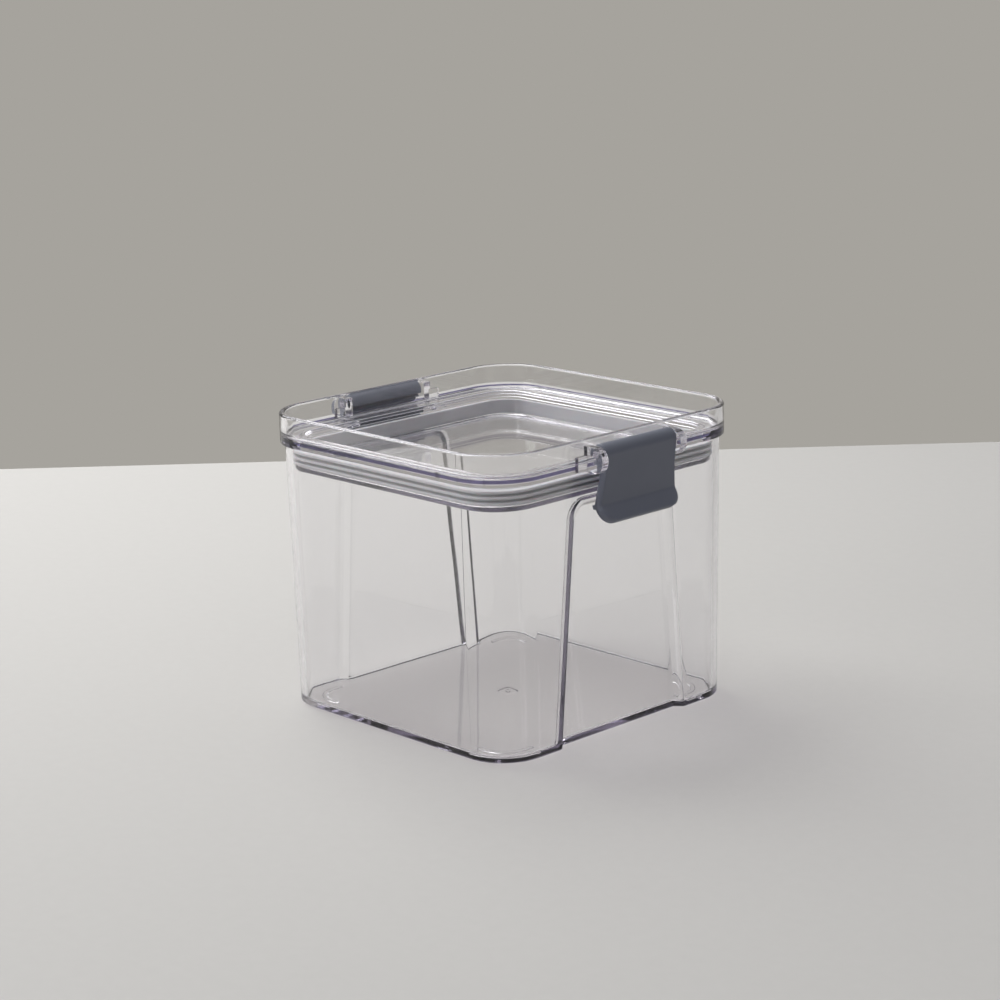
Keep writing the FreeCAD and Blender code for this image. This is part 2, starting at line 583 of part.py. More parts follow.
def build_latch(name, turn):
    """A flip latch, modelled about its hinge axis and then leaned and set on its side of the lid."""
    body = new_body(name)
    outer = "sizes.barrel_radius"
    inner = "sizes.barrel_radius - sizes.latch_thickness"
    fold = "-worked.plate_length"
    flare_x = "sin(sizes.tab_flare)"
    flare_z = "cos(sizes.tab_flare)"
    tab_x = f"{outer} + sizes.tab_length * {flare_x}"
    tab_z = f"{fold} - sizes.tab_length * {flare_z}"
    under_x = f"sizes.tab_thickness * {flare_z}"
    under_z = f"sizes.tab_thickness * {flare_x}"
    tab_low = f"{tab_z} - {under_z}"
    hook_top = f"worked.hook_z + ({inner} - worked.hook_x) * tan(worked.snap_lean)"
    side = new_sketch(body, "plate_profile", "XZ_Plane")
    polygon(side, [
        (outer, "0"),
        (outer, fold),
        (tab_x, tab_z),
        (f"{tab_x} - {under_x}", tab_low),
        (inner, f"{fold} - {under_z} + (sizes.latch_thickness - {under_x}) / tan(sizes.tab_flare)"),
        (inner, f"-sqrt(({outer}) ^ 2 - ({inner}) ^ 2)"),
    ], arc_about_origin=True)
    extrude(body, "Pad", "plate", side, "2 * sizes.latch_foot_width", both_ways=True)
    front = new_sketch(body, "plate_outline", "YZ_Plane")
    trim_outline(front, tab_low)
    extrude(body, "Pocket", "plate_trim", front, "4 * sizes.latch_foot_width", both_ways=True)
    hook = new_sketch(body, "hook_profile", "XZ_Plane")
    polygon(hook, [
        ("worked.hook_x", "worked.hook_z"),
        (inner, hook_top),
        (f"{outer} - sizes.latch_thickness / 2", hook_top),
        (f"{outer} - {under_x} / 2 + sizes.hook_thickness * {flare_x}",
         f"{fold} - {under_z} / 2 - sizes.hook_thickness * {flare_z}"),
        ("worked.hook_x + sizes.hook_thickness / 2", "worked.hook_z - sizes.hook_thickness"),
    ])
    extrude(body, "Pad", "hook", hook, "worked.hook_width", both_ways=True)
    mouth = new_sketch(body, "clip_mouth_outline", "XZ_Plane")
    clip_mouth(mouth)
    extrude(body, "Pocket", "clip_mouth", mouth, "2 * worked.barrel_length", both_ways=True)
    round_latch(body, outer, fold)
    hole = new_sketch(body, "bore_outline", "XZ_Plane")
    circle(hole, "bore", ("0", "0"), "sizes.axle_radius + sizes.bore_clearance")
    extrude(body, "Pocket", "bore", hole, "2 * worked.barrel_length", both_ways=True)
    lean = FreeCAD.Rotation(FreeCAD.Vector(0, 1, 0), value("sizes.latch_lean"))
    half_turn = FreeCAD.Rotation(FreeCAD.Vector(0, 0, 1), turn)
    body.Placement = FreeCAD.Placement(FreeCAD.Vector(0, 0, 0), half_turn.multiply(lean))
    sign = "-" if turn else ""
    body.setExpression("Placement.Base.x", f"{sign}worked.hinge_x")
    body.setExpression("Placement.Base.z", "worked.hinge_z")
    doc.recompute()
    return body


def clip_mouth(sketch):
    """The gap through which the barrel snaps onto the axle: it faces the lid and downwards."""
    half = "sizes.clip_mouth / 2"
    depth = "2 * sizes.barrel_radius"
    across = "sin(sizes.clip_mouth_angle)"
    along = "cos(sizes.clip_mouth_angle)"
    side_x = f"{half} * {across}"
    side_z = f"{half} * {along}"
    out_x = f"{depth} * {along}"
    out_z = f"{depth} * {across}"
    polygon(sketch, [
        (side_x, f"-{side_z}"),
        (f"-{side_x}", side_z),
        (f"-{side_x} - {out_x}", f"{side_z} - {out_z}"),
        (f"{side_x} - {out_x}", f"-{side_z} - {out_z}"),
    ])


def trim_outline(sketch, tab_low):
    """What is cut away round the plate, seen from the front, so that its shoulders pass under the ears."""
    narrow = "worked.barrel_length / 2"
    wide = "sizes.latch_foot_width / 2"
    shoulder = "-sizes.latch_shoulder"
    above = "sizes.latch_foot_width"
    polygon(sketch, [
        (narrow, above),
        (f"-{narrow}", above),
        (f"-{narrow}", shoulder),
        (f"-{wide}", tab_low),
        (wide, tab_low),
        (narrow, shoulder),
    ])
    far = "2 * sizes.latch_foot_width"
    polygon(sketch, [(far, far), (f"-{far}", far), (f"-{far}", f"-{far}"), (far, f"-{far}")])


def along_hinge(across, height):
    """A test for edges parallel to the hinge at a given place in the latch's section."""
    place_x = value(across)
    place_z = value(height)

    def wanted(edge):
        box = edge.BoundBox
        spread = max(abs(box.XMin - place_x), abs(box.XMax - place_x),
                     abs(box.ZMin - place_z), abs(box.ZMax - place_z))
        return spread < 1e-4 and box.YLength > 1

    return wanted


def round_latch(body, outer, fold):
    """Round the fold, the shoulders, the tab's corners, the outer edges and the hook's tip."""
    tab_thickness = value("sizes.tab_thickness")
    shoulder = at_level("-sizes.latch_shoulder")
    half_width = value("worked.barrel_length / 2")
    face = value(outer)

    def shoulder_corner(edge):
        return shoulder(edge) and edge.BoundBox.YLength < tab_thickness

    def tab_corner(edge):
        box = edge.BoundBox
        across_tab = abs(edge.Length / tab_thickness - 1) < 0.05 and box.YLength < tab_thickness / 2
        return across_tab and box.XMax > face + tab_thickness / 2

    def outer_side(edge):
        box = edge.BoundBox
        on_face = abs(box.XMin - face) < 1e-4 and abs(box.XMax - face) < 1e-4
        return on_face and box.ZLength > 0 and box.YLength < half_width

    dress(body, "Fillet", "fold_fillet", "sizes.fold_round", along_hinge(outer, fold))
    dress(body, "Fillet", "shoulder_fillet", "sizes.latch_shoulder_round", shoulder_corner)
    dress(body, "Fillet", "tab_corners", "sizes.latch_corner", tab_corner)
    dress(body, "Chamfer", "outer_edges", "sizes.latch_edge_bevel", outer_side)
    dress(body, "Fillet", "hook_tip", "sizes.hook_round", along_hinge("worked.hook_x", "worked.hook_z"))


parts = [
    build_jar(),
    build_lid(),
    build_gasket(),
    build_latch("latch_right", 0),
    build_latch("latch_left", 180),
]

failed = [item.Name for item in doc.Objects if "Invalid" in item.State or "Error" in item.State]
if failed:
    raise RuntimeError(f"failed objects: {failed}")
for part in parts:
    if part.Shape.isNull() or not part.Shape.isValid() or len(part.Shape.Solids) != 1:
        raise RuntimeError(f"{part.Label} is not one valid solid")

os.makedirs("parts", exist_ok=True)
for part in parts:
    part.Shape.exportStep(f"parts/{part.Label}.step")
    box = part.Shape.optimalBoundingBox()
    print(part.Label, round(part.Shape.Volume, 1), box)
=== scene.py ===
import json
import math

import bmesh
import bpy
from mathutils import Matrix, Vector


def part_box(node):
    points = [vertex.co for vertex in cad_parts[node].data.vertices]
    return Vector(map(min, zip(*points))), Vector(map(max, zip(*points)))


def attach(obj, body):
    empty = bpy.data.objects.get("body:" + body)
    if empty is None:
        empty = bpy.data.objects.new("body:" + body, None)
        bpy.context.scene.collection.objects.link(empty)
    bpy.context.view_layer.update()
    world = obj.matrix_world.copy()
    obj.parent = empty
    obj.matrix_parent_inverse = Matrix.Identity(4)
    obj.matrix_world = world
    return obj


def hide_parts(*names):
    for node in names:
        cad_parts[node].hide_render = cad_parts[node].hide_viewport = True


bl_info = {
    "name": "Latch-lid storage jar",
    "version": (1, 0, 0),
    "blender": (4, 5, 0),
    "location": "3D View > Sidebar > Storage jar",
    "description": "Gives the packed solids of a clear storage jar their moulded shapes and finishes",
    "category": "Object",
}

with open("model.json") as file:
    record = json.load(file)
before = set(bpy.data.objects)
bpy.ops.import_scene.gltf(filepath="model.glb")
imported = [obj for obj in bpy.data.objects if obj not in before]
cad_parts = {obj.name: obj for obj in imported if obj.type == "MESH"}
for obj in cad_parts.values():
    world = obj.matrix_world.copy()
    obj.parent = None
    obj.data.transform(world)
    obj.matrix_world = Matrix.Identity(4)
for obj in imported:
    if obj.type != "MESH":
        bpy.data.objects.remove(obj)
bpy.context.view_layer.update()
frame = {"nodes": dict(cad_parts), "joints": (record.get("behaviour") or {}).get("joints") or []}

MM = 0.001
HINGES = {joint["child"]: Vector(joint["pos_m"]) for joint in frame["joints"] if joint["type"] == "hinge"}
RIM_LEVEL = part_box("jar")[1].z / MM
LID_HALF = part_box("lid")[1].y / MM
LID_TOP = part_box("lid")[1].z / MM
LID_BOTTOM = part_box("lid")[0].z / MM
GASKET_LOW, GASKET_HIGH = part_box("gasket")
# Millimetres that keep faces of different pieces out of one plane
RIM_GAP = 0.03
GASKET_GAP = 0.02
# Points nearer than this become one, and edges that turn more than this stay sharp
WELD_DISTANCE = 0.002 * MM
SHARP_ANGLE = math.radians(40)


def linear(code):
    """An sRGB hex colour as linear red, green and blue."""
    parts = [int(code[place:place + 2], 16) / 255 for place in (1, 3, 5)]
    return tuple(part / 12.92 if part <= 0.04045 else ((part + 0.055) / 1.055) ** 2.4 for part in parts)


def size(name, description, millimetres):
    """A length, its default given in millimetres."""
    return bpy.props.FloatProperty(name=name, description=description, default=millimetres * MM,
                                   min=0.0, precision=5, subtype="DISTANCE", unit="LENGTH")


def colour(name, description, code):
    """A colour, its default given as an sRGB hex code."""
    return bpy.props.FloatVectorProperty(name=name, description=description, default=linear(code),
                                         min=0.0, max=1.0, size=3, subtype="COLOR")


class JarShape(bpy.types.PropertyGroup):
    """Sizes of the clear body."""

    corner_centre: size("Corner centre", "Distance of the corners' centres from the middle planes", 37.6)
    rim: size("Rim level", "Height of the jar's rim", RIM_LEVEL - RIM_GAP)
    rim_half: size("Rim half width", "Half the jar's width at the rim", 53.5)
    base_half: size("Base half width", "Half the jar's width at the base", 52.3)
    foot: size("Foot height", "Height of the corner feet under the base", 0.45)
    wall: size("Wall", "Thickness of the walls", 2.0)
    floor: size("Floor", "Thickness of the floor", 1.4)
    floor_round: size("Floor round", "Radius between the floor and the walls inside", 1.2)
    base_round: size("Base round", "Radius of the base's outer edge", 0.7)
    mouth_round: size("Mouth round", "Radius of the rim's edges", 0.4)
    recess_base: size("Recess base", "Half the grip recess's width at the base", 27.7)
    recess_head: size("Recess head", "Half the grip recess's width at its top", 21.3)
    recess_top: size("Recess top", "Height of the ledge that the hook catches", 76.07)
    recess_depth: size("Recess depth", "How far the recess goes in", 2.6)
    recess_side_run: size("Recess side run", "Width of the sloping sides of the recess", 2.2)
    recess_top_run: size("Recess top run", "Width of the slope under the ledge", 0.5)
    recess_corner: size("Recess corner", "Radius of the recess's top corners", 5.5)
    recess_edge: size("Recess edge", "Radius along the recess's side edges, outside", 0.3)
    recess_inner_edge: size("Recess inner edge", "Radius along the recess's side edges, inside", 3.4)
    recess_top_edge: size("Recess top edge", "Radius along the recess's top edge", 0.9)
    foot_reach: size("Foot reach", "Distance of a foot's outside from the middle planes", 45.2)
    foot_width: size("Foot width", "Thickness of a foot's rib", 1.6)
    foot_corner: size("Foot corner", "Radius of a foot's bend", 9.2)
    foot_leg: size("Foot leg", "Straight length on each side of a foot's bend", 3.0)
    gate_dish: size("Gate dish", "Radius of the dish under the middle of the base", 4.0)
    gate_depth: size("Gate depth", "Depth of that dish", 0.6)
    gate_stub: size("Gate stub", "Radius of the stub that the moulding gate leaves", 1.0)


class LidShape(bpy.types.PropertyGroup):
    """Sizes of the clear lid."""

    half: size("Half width", "Half the lid's width", LID_HALF)
    top: size("Top", "Height of the rim's top", LID_TOP)
    flange: size("Flange", "Height of the flange's underside, which lies on the jar's rim", RIM_LEVEL)
    ledge: size("Ledge", "Height of the ledge inside the rim", 88.6)
    rim_wall: size("Rim wall", "Thickness of the rim", 1.9)
    well_half: size("Well half width", "Half the width of the well", 46.0)
    well_floor: size("Well floor", "Height of the well's floor", 80.1)
    plug_half: size("Plug half width", "Half the width of the plug under the flange", 47.9)
    lip_half: size("Lip half width", "Half the width of the lip that holds the gasket", 50.6)
    lip_top: size("Lip top", "Height of that lip's upper face", 79.9)
    bottom: size("Bottom", "Height of the plug's underside", LID_BOTTOM)
    ear_radius: size("Ear radius", "Radius of the hinge ears", 4.08)
    ear_level: size("Ear level", "Height of the middle of an ear's round", 90.3)
    ear_thickness: size("Ear thickness", "Thickness of one ear", 2.8)
    ear_spacing: size("Ear spacing", "Distance between a pair of ears", 31.6)
    web_length: size("Web length", "Length of the low web outside each ear", 3.8)
    web_reach: size("Web reach", "How far the web stands out from the rim", 1.2)
    web_height: size("Web height", "Height of the web", 4.7)
    web_edge: size("Web edge", "Radius along the edges of the webs", 0.12)
    axle: size("Axle", "Radius of the axle between the ears", 1.3)
    ear_edge: size("Ear edge", "Radius along the edges of the ears", 0.15)
    ear_foot: size("Ear foot", "Height of the ears' and webs' lower ends above the flange's underside", 0.55)
    axle_edge: size("Axle edge", "Radius along the edges of the axle's ends", 0.1)
    well_flat: size("Well flat", "Distance from the well's wall to the one face that fills its middle", 5.0)
    well_round: size("Well round", "Radius between the well's floor and its wall", 2.0)
    well_edge: size("Well edge", "Radius of the well's upper edge", 0.5)
    ledge_round: size("Ledge round", "Radius between the ledge and the rim", 2.0)
    rim_edge: size("Rim edge", "Radius of the rim's upper edges", 0.7)
    flange_edge: size("Flange edge", "Radius of the flange's lower edge", 0.35)
    plug_round: size("Plug round", "Radius between the flange and the plug", 0.4)
    lip_round: size("Lip round", "Radius between the plug and the lip", 0.2)
    lip_edge: size("Lip edge", "Radius of the lip's upper edge", 0.25)
    bottom_edge: size("Bottom edge", "Radius of the plug's lower edge", 0.6)


class GasketShape(bpy.types.PropertyGroup):
    """Sizes of the silicone ring."""

    back: size("Back", "Distance of the ring's back from the middle planes", 47.95)
    reach: size("Reach", "Distance of the lips' tips from the middle planes", GASKET_HIGH.x / MM)
    core: size("Core", "Thickness of the band that carries the lips", 1.3)
    bottom: size("Bottom", "Height of the ring's underside", GASKET_LOW.z / MM + GASKET_GAP)
    height: size("Height", "Height of the ring", 5.36)
    root: size("Lip root", "Thickness of a lip where it leaves the band", 1.3)
    tip: size("Lip tip", "Thickness of a lip at its tip", 0.9)
    lips: bpy.props.IntProperty(name="Lips", description="Number of lips", default=3, min=1)


class Finishes(bpy.types.PropertyGroup):
    """Colours of the materials and of the stage."""

    tint: colour("Plastic tint", "Colour that light takes on in the clear plastic", "#B9AFCC")
    tint_depth: bpy.props.FloatProperty(
        name="Tint depth", description="How fast that colour builds up, per metre", default=20.0, min=0.0)
    # Painted shade: a dark violet band painted round the lid's outside, level with the ledge, in place of the
    # light that leaves the flange's edge
    flange: colour("Flange edge", "Colour of the light that leaves the lid's flange at its edge", "#3D3866")
    latch: colour("Latch", "Colour of the latches", "#656975")
    latch_pale: colour("Latch, pale", "Paler cast of the latches where the plastic has flowed", "#6C707C")
    silicone: colour("Silicone", "Colour of the gasket", "#D2D2D3")
    silicone_dark: colour("Silicone, dark", "Darker cast of the gasket", "#C8C8C9")
    floor: colour("Floor", "Colour of the floor", "#C9C7C3")
    wall: colour("Backdrop", "Colour behind the floor's far edge", "#A6A39D")
    room: colour("Room", "Colour of the room behind the camera", "#44424F")
    ceiling: colour("Ceiling", "Colour of the room overhead", "#BBBCBF")


class Skin:
    """Points and faces of a mesh, gathered patch by patch."""

    def __init__(self):
        self.points = []
        self.faces = []

    def row(self, places):
        """Add a row of points and give back their numbers."""
        first = len(self.points)
        self.points.extend(places)
        return list(range(first, len(self.points)))

    def strip(self, low, high, closed=True, left_out=()):
        """Add faces between two rows of as many points, but for those left out."""
        count = len(low)
        for index in range(count if closed else count - 1):
            if index not in left_out:
                after = (index + 1) % count
                self.faces.append((low[index], low[after], high[after], high[index]))

    def loft(self, loops, closed=True, left_out=()):
        """Add rows of points with a strip of faces between each two."""
        rows = [self.row(loop) for loop in loops]
        for low, high in zip(rows, rows[1:]):
            self.strip(low, high, closed, left_out)
        return rows

    def cap(self, row):
        """Add one face inside a row."""
        self.faces.append(tuple(row))

    def to_object(self, name):
        mesh = bpy.data.meshes.new(name)
        mesh.from_pydata(self.points, [], self.faces)
        return weld(new_object(name, mesh))


def new_object(name, mesh):
    piece = bpy.data.objects.new(name, mesh)
    bpy.context.scene.collection.objects.link(piece)
    return piece


def weld(piece):
    """Join the points of neighbouring patches and turn all faces outwards."""
    work = bmesh.new()
    work.from_mesh(piece.data)
    bmesh.ops.remove_doubles(work, verts=work.verts, dist=WELD_DISTANCE)
    bmesh.ops.recalc_face_normals(work, faces=work.faces)
    work.to_mesh(piece.data)
    work.free()
    return piece


def evaluated(piece):
    """Turn a piece and its modifiers into a plain mesh."""
    graph = bpy.context.evaluated_depsgraph_get()
    mesh = bpy.data.meshes.new_from_object(piece.evaluated_get(graph), depsgraph=graph)
    mesh.name = piece.name
    piece.modifiers.clear()
    piece.data = mesh
    return piece


def unite(piece, additions):
    """Melt separate solids into one piece."""
    for addition in additions:
        joint = piece.modifiers.new("unite", "BOOLEAN")
        joint.operation = "UNION"
        joint.solver = "EXACT"
        joint.object = addition
    evaluated(piece)
    for addition in additions:
        bpy.data.objects.remove(addition)
    return piece


def smooth(piece):
    """Shade smoothly, with flat faces kept flat up to their rounded edges."""
    for face in piece.data.polygons:
        face.use_smooth = True
    piece.data.set_sharp_from_angle(angle=SHARP_ANGLE)
    weights = piece.modifiers.new("flat faces", "WEIGHTED_NORMAL")
    weights.mode = "FACE_AREA"
    weights.keep_sharp = True
    return evaluated(piece)


def rounded(corners, steps=5):
    """A line through corners given as (across, up, radius), rounded at each by its radius."""
    places = []
    for index, (across, up, radius) in enumerate(corners):
        here = Vector((across, up))
        if radius == 0:
            places.append(here)
            continue
        back = (Vector(corners[index - 1][:2]) - here).normalized()
        ahead = (Vector(corners[(index + 1) % len(corners)][:2]) - here).normalized()
        half_angle = back.angle(ahead) / 2
        centre = here + (back + ahead).normalized() * (radius / math.sin(half_angle))
        start = here + back * (radius / math.tan(half_angle)) - centre
        end = here + ahead * (radius / math.tan(half_angle)) - centre
        first = math.atan2(start.y, start.x)
        turn = (math.atan2(end.y, end.x) - first + math.pi) % math.tau - math.pi
        for step in range(steps + 1):
            angle = first + turn * step / steps
            places.append(centre + radius * Vector((math.cos(angle), math.sin(angle))))
    return places


# How many parts each curve or edge is divided into
CORNER_STEPS = 20
SIDE_STEPS = 8
ARC_STEPS = 12
TOP_STEPS = 3
RIM_STEPS = 4
FOOT_STEPS = 12
FOOT_EDGE_STEPS = 3
EAR_STEPS = 24
EAR_EDGE_STEPS = 3
AXLE_STEPS = 40
GASKET_EDGE_STEPS = 4


def square_loop(half, level, centre, face=None):
    """A rounded square at one level. face holds (y, depth) across the +X face, mirrored on the -X face."""
    face = face or [(-centre, 0.0), (centre, 0.0)]
    radius = half - centre
    sides = [
        [(half - depth, y) for y, depth in face],
        [(centre, half), (-centre, half)],
        [(depth - half, y) for y, depth in reversed(face)],
        [(-centre, -half), (centre, -half)],
    ]
    places = []
    for quarter, side in enumerate(sides):
        places += side
        middle = Vector((centre, centre))
        for step in range(1, CORNER_STEPS):
            angle = math.pi / 2 * step / CORNER_STEPS
            spot = middle + radius * Vector((math.cos(angle), math.sin(angle)))
            spot.rotate(Matrix.Rotation(math.pi / 2 * quarter, 2))
            places.append(spot)
    return [(place[0], place[1], level) for place in places]


# Width of the plain strips beside the recess's slope
RECESS_MARGIN = 1.6 * MM


class JarSkins:
    """The jar's outer and inner skins, with the recess's outline as the pattern that both follow."""

    def __init__(self, shape):
        self.shape = shape
        self.lean = math.atan2(shape.recess_base - shape.recess_head, shape.recess_top - shape.foot)
        self.arc_z = shape.recess_top - shape.recess_corner
        self.arc_y = self.side_y(self.arc_z) - shape.recess_corner / math.cos(self.lean)
        self.high = shape.rim - shape.mouth_round

    def half(self, level):
        """Half the jar's width at a height."""
        shape = self.shape
        rise = (level - shape.foot) / (shape.rim - shape.foot)
        return shape.base_half + (shape.rim_half - shape.base_half) * rise

    def side_y(self, level):
        """Half the recess's width at a height."""
        return self.shape.recess_base - (level - self.shape.foot) * math.tan(self.lean)

    def slope(self, run, inset):
        """The recess's edge in section, as (distance outside the outline, depth)."""
        shape = self.shape
        share = (run - shape.recess_top_run) / (shape.recess_side_run - shape.recess_top_run)
        inward = min(1, inset / shape.wall)
        side_edge = shape.recess_edge + (shape.recess_inner_edge - shape.recess_edge) * inward
        radius = shape.recess_top_edge + (side_edge - shape.recess_top_edge) * share
        shift = inset * math.tan(math.atan2(shape.recess_depth, run) / 2)
        return rounded([
            (shift + RECESS_MARGIN, 0.0, 0.0),
            (shift, 0.0, radius),
            (shift - run, shape.recess_depth, radius),
            (shift - run - RECESS_MARGIN, shape.recess_depth, 0.0),
        ])

    def half_outline(self, low, inset):
        """Stations from the base to the middle of the top: a slope as (y, z, depth), and a border point."""
        shape = self.shape
        centre = shape.corner_centre
        stations = []
        on_side = self.arc_z + shape.recess_corner * math.sin(self.lean)
        side_slope = self.slope(shape.recess_side_run, inset)
        for step in range(SIDE_STEPS):
            level = low + (on_side - low) * step / SIDE_STEPS
            edge = self.side_y(level)
            spots = [(edge + out / math.cos(self.lean), level, depth) for out, depth in side_slope]
            stations.append((spots, (centre, level)))
        border_low = low + (on_side - low) * (SIDE_STEPS - 1) / SIDE_STEPS
        for step in range(ARC_STEPS + 1):
            share = step / ARC_STEPS
            angle = self.lean + (math.pi / 2 - self.lean) * share
            run = shape.recess_side_run + (shape.recess_top_run - shape.recess_side_run) * share
            spots = []
            for out, depth in self.slope(run, inset):
                reach = shape.recess_corner + out
                y = self.arc_y + reach * math.cos(angle)
                spots.append((y, self.arc_z + reach * math.sin(angle), depth))
            if share <= 0.5:
                rise = (step + 1) / (ARC_STEPS / 2 + 1)
                border = (centre, border_low + (self.high - border_low) * rise)
            else:
                border = (centre + (self.arc_y - centre) * (2 * share - 1), self.high)
            stations.append((spots, border))
        top_slope = self.slope(shape.recess_top_run, inset)
        for step in range(1, TOP_STEPS + 1):
            y = self.arc_y * (1 - step / TOP_STEPS)
            spots = [(y, shape.recess_top + out, depth) for out, depth in top_slope]
            stations.append((spots, (y, self.high)))
        return stations

    def add_skin(self, skin, low, inset):
        """One skin from a height up to the rim's rounding: the plain walls and the two recessed faces."""
        right = self.half_outline(low, inset)
        left = []
        for spots, border in right:
            left.append(([(-y, z, depth) for y, z, depth in spots], (-border[0], border[1])))
        levels = [border[1] for _, border in right[:SIDE_STEPS + ARC_STEPS // 2 + 1]]
        loops = [square_loop(self.half(level) - inset, level, self.shape.corner_centre) for level in levels]
        skin.loft(loops, left_out=(0, len(loops[0]) // 2))
        for side in (1, -1):
            lines = []
            for spots, border in right + left[-2::-1]:
                line = [(side * (self.half(border[1]) - inset), *border)]
                line += [(side * (self.half(z) - inset - depth), y, z) for y, z, depth in spots]
                lines.append(line)
            rows = skin.loft(lines, closed=False)
            skin.cap([row[-1] for row in rows])

    def top_face(self):
        """Columns of the skins' upper edge on a recessed face."""
        stations = self.half_outline(self.arc_z - self.shape.recess_corner, 0.0)
        right = [border[0] for _, border in stations if border[1] == self.high]
        return [(-y, 0.0) for y in right] + [(y, 0.0) for y in right[-2::-1]]

    def low_loop(self, level, inset):
        """A loop round the base at a height, with the recess's notches."""
        slope = self.slope(self.shape.recess_side_run, inset)
        edge = self.side_y(level)
        right = [(edge + out / math.cos(self.lean), depth) for out, depth in slope]
        right.insert(0, (self.shape.corner_centre, 0.0))
        face = [(-y, depth) for y, depth in right] + right[::-1]
        return square_loop(self.half(level) - inset, level, self.shape.corner_centre, face)


def quarter_turn(radius, steps=6):
    """Points of a quarter round as (distance in, distance along)."""
    angles = [math.pi / 2 * step / steps for step in range(steps + 1)]
    return [(radius * (1 - math.cos(angle)), radius * (1 - math.sin(angle))) for angle in angles]


# How much the gate's stub narrows, and how far it ends short of the base's underside
STUB_TAPER = 0.9
STUB_GAP = 0.1 * MM


def jar_mesh(shape):
    """The jar's clear shell in one closed mesh, with its feet melted on."""
    skins = JarSkins(shape)
    skin = Skin()
    base_start = shape.foot + shape.base_round
    floor_level = shape.foot + shape.floor
    floor_start = floor_level + shape.floor_round
    skins.add_skin(skin, base_start, 0.0)
    skins.add_skin(skin, floor_start, shape.wall)

    # Rim: outer round, flat top, inner round
    face = skins.top_face()
    outer = [(inset, shape.rim - drop) for inset, drop in quarter_turn(shape.mouth_round, RIM_STEPS)]
    inner = [(shape.wall - inset, level) for inset, level in reversed(outer)]
    skin.loft([square_loop(skins.half(skins.high) - inset, level, shape.corner_centre, face)
               for inset, level in outer + inner])

    # Base: rounded edge, flat underside, dish with the gate's stub
    edge = [skins.low_loop(shape.foot + rise, inset) for inset, rise in quarter_turn(shape.base_round)]
    rows = skin.loft(edge)
    angles = [math.atan2(y, x) for x, y, _ in edge[-1]]
    dish = [
        (shape.gate_dish, shape.foot),
        (shape.gate_dish - shape.gate_depth, shape.foot + shape.gate_depth),
        (shape.gate_stub, shape.foot + shape.gate_depth),
        (shape.gate_stub * STUB_TAPER, shape.foot + STUB_GAP),
    ]
    circles = [[(radius * math.cos(angle), radius * math.sin(angle), level) for angle in angles]
               for radius, level in dish]
    dish_rows = skin.loft(circles)
    skin.strip(rows[-1], dish_rows[0])
    skin.cap(dish_rows[-1])

    # Floor inside: round from the walls to the flat
    bend = [skins.low_loop(floor_level + rise, shape.wall + inset)
            for inset, rise in quarter_turn(shape.floor_round)]
    skin.cap(skin.loft(bend)[-1])
    jar = skin.to_object("jar_shell")
    return unite(jar, [corner_foot(shape, quarter) for quarter in range(4)])


# Radius of a foot's lower edges, and how far it reaches into the base that it is melted to
FOOT_EDGE = 0.3 * MM
FOOT_ROOT = 0.4 * MM


def corner_foot(shape, quarter):
    """One foot's rib, which follows a corner of the base."""
    bend = shape.foot_reach - shape.foot_corner
    line = []
    for step in range(FOOT_STEPS + 1):
        angle = math.pi / 2 * step / FOOT_STEPS
        line.append((Vector((bend, bend)), Vector((math.cos(angle), math.sin(angle)))))
    line.insert(0, (Vector((bend, bend - shape.foot_leg)), Vector((1, 0))))
    line.append((Vector((bend - shape.foot_leg, bend)), Vector((0, 1))))
    inside = shape.foot_corner - shape.foot_width
    root = shape.foot + FOOT_ROOT
    section = rounded([
        (inside, root, 0.0),
        (inside, 0.0, FOOT_EDGE),
        (shape.foot_corner, 0.0, FOOT_EDGE),
        (shape.foot_corner, root, 0.0),
    ], FOOT_EDGE_STEPS)
    turn = Matrix.Rotation(math.pi / 2 * quarter, 2)
    skin = Skin()
    loops = []
    for middle, out in line:
        spots = []
        for reach, level in section:
            spot = middle + out * reach
            spot.rotate(turn)
            spots.append((spot.x, spot.y, level))
        loops.append(spots)
    rows = skin.loft(loops)
    skin.cap(rows[0])
    skin.cap(rows[-1])
    return skin.to_object(f"foot_{quarter}")


def lid_mesh(shape, centre):
    """The lid's clear shell: its section carried round a rounded square, with the hinge ears melted on."""
    middle = shape.well_half - shape.well_flat
    inner = shape.half - shape.rim_wall
    section = rounded([
        (middle, shape.well_floor, 0.0),
        (shape.well_half, shape.well_floor, shape.well_round),
        (shape.well_half, shape.ledge, shape.well_edge),
        (inner, shape.ledge, shape.ledge_round),
        (inner, shape.top, shape.rim_edge),
        (shape.half, shape.top, shape.rim_edge),
        (shape.half, shape.flange, shape.flange_edge),
        (shape.plug_half, shape.flange, shape.plug_round),
        (shape.plug_half, shape.lip_top, shape.lip_round),
        (shape.lip_half, shape.lip_top, shape.lip_edge),
        (shape.lip_half, shape.bottom, shape.bottom_edge),
        (middle, shape.bottom, 0.0),
    ])
    skin = Skin()
    rows = skin.loft([square_loop(half, level, centre) for half, level in section])
    skin.cap(rows[0])
    skin.cap(rows[-1])
    lid = skin.to_object("lid_shell")
    additions = []
    for body, hinge in HINGES.items():
        additions += hinge_ears(shape, body, hinge)
    return unite(lid, additions)


def prism(name, section, low, high, side, edge):
    """A solid with a section in X and Z between two places in Y, its edges softened."""
    skin = Skin()
    rows = skin.loft([[(side * x, y, z) for x, z in section] for y in (low, high)])
    skin.cap(rows[0])
    skin.cap(rows[1])
    solid = skin.to_object(name)
    soften = solid.modifiers.new("soften", "BEVEL")
    soften.width = edge
    soften.segments = EAR_EDGE_STEPS
    soften.limit_method = "ANGLE"
    soften.angle_limit = SHARP_ANGLE
    return evaluated(solid)


# How far a web reaches into the ear that it is melted to
WEB_ROOT = 1 * MM


